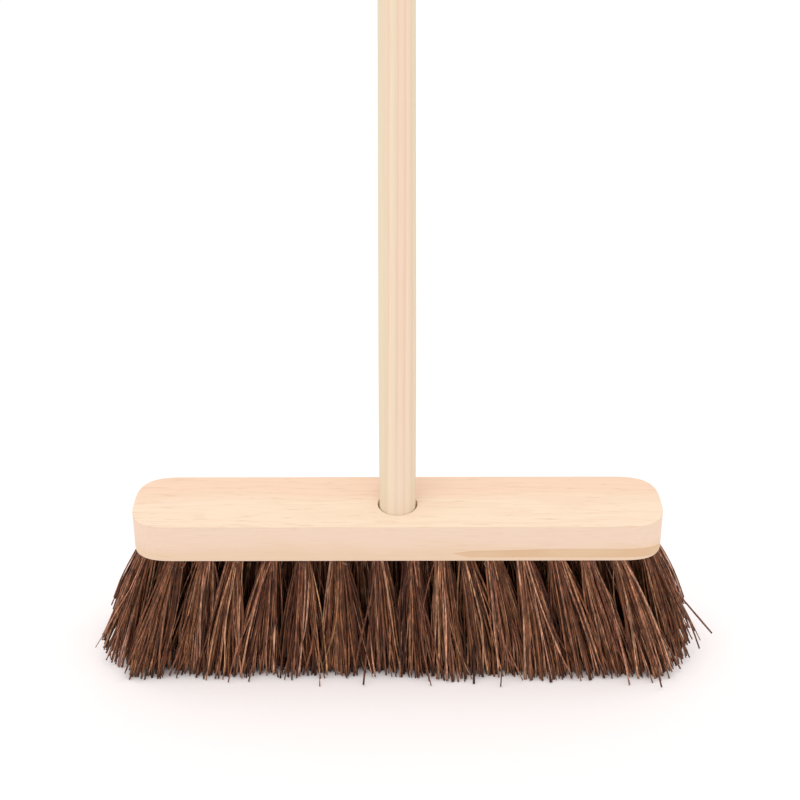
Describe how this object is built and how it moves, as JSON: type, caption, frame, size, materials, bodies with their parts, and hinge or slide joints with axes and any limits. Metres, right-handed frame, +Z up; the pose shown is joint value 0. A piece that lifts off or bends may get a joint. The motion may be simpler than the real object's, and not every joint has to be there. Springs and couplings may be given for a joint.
{
  "type": "push broom",
  "caption": "Push broom with a flat rounded wooden block, stiff natural-fibre tufts and a plain round wooden handle pushed into an angled socket.",
  "frame": {"origin": "on the handle's axis 1000 mm up from the socket's mouth, where a hand or a tool clip holds the broom; the bristle tips meet the floor 1005.3 mm below it", "axes": "+Z up, with the bristles down on the floor; +X along the block; the handle leans back 25 degrees towards +Y"},
  "size_m": [0.3542, 0.5442, 1.1749],
  "materials": {
    "block_wood": "satin",
    "handle_wood": "satin",
    "bristle": "matte",
    "anchor_wire": "satin"
  },
  "bodies": {
    "head": {"block": "block_wood", "tuft_front_01": "bristle", "tuft_rear_01": "bristle", "tuft_front_02": "bristle", "tuft_rear_02": "bristle", "tuft_front_03": "bristle", "tuft_rear_03": "bristle", "tuft_front_04": "bristle", "tuft_rear_04": "bristle", "tuft_front_05": "bristle", "tuft_rear_05": "bristle", "tuft_front_06": "bristle", "tuft_rear_06": "bristle", "tuft_front_07": "bristle", "tuft_rear_07": "bristle", "tuft_front_08": "bristle", "tuft_rear_08": "bristle", "tuft_front_09": "bristle", "tuft_rear_09": "bristle", "tuft_front_10": "bristle", "tuft_rear_10": "bristle", "tuft_front_11": "bristle", "tuft_rear_11": "bristle", "tuft_front_12": "bristle", "tuft_rear_12": "bristle", "tuft_front_13": "bristle", "tuft_rear_13": "bristle", "tuft_front_14": "bristle", "tuft_rear_14": "bristle", "tuft_front_15": "bristle", "tuft_rear_15": "bristle", "tuft_middle_01": "bristle", "tuft_middle_02": "bristle", "tuft_middle_03": "bristle", "tuft_middle_04": "bristle", "tuft_middle_05": "bristle", "tuft_middle_06": "bristle", "tuft_middle_07": "bristle", "tuft_middle_08": "bristle", "tuft_middle_09": "bristle", "tuft_middle_10": "bristle", "tuft_middle_11": "bristle", "tuft_middle_12": "bristle", "tuft_middle_13": "bristle", "tuft_middle_14": "bristle", "tuft_middle_15": "bristle", "tuft_middle_16": "bristle", "tuft_end_left_front": "bristle", "tuft_end_left_rear": "bristle", "tuft_end_right_front": "bristle", "tuft_end_right_rear": "bristle"},
    "handle": {"handle": "handle_wood"}
  },
  "joints": [
    {"name": "handle_fit", "type": "slide", "parent": "head", "child": "handle", "axis": [0, 0.4226, 0.9063], "range_m": [0, 0.04]}
  ]
}
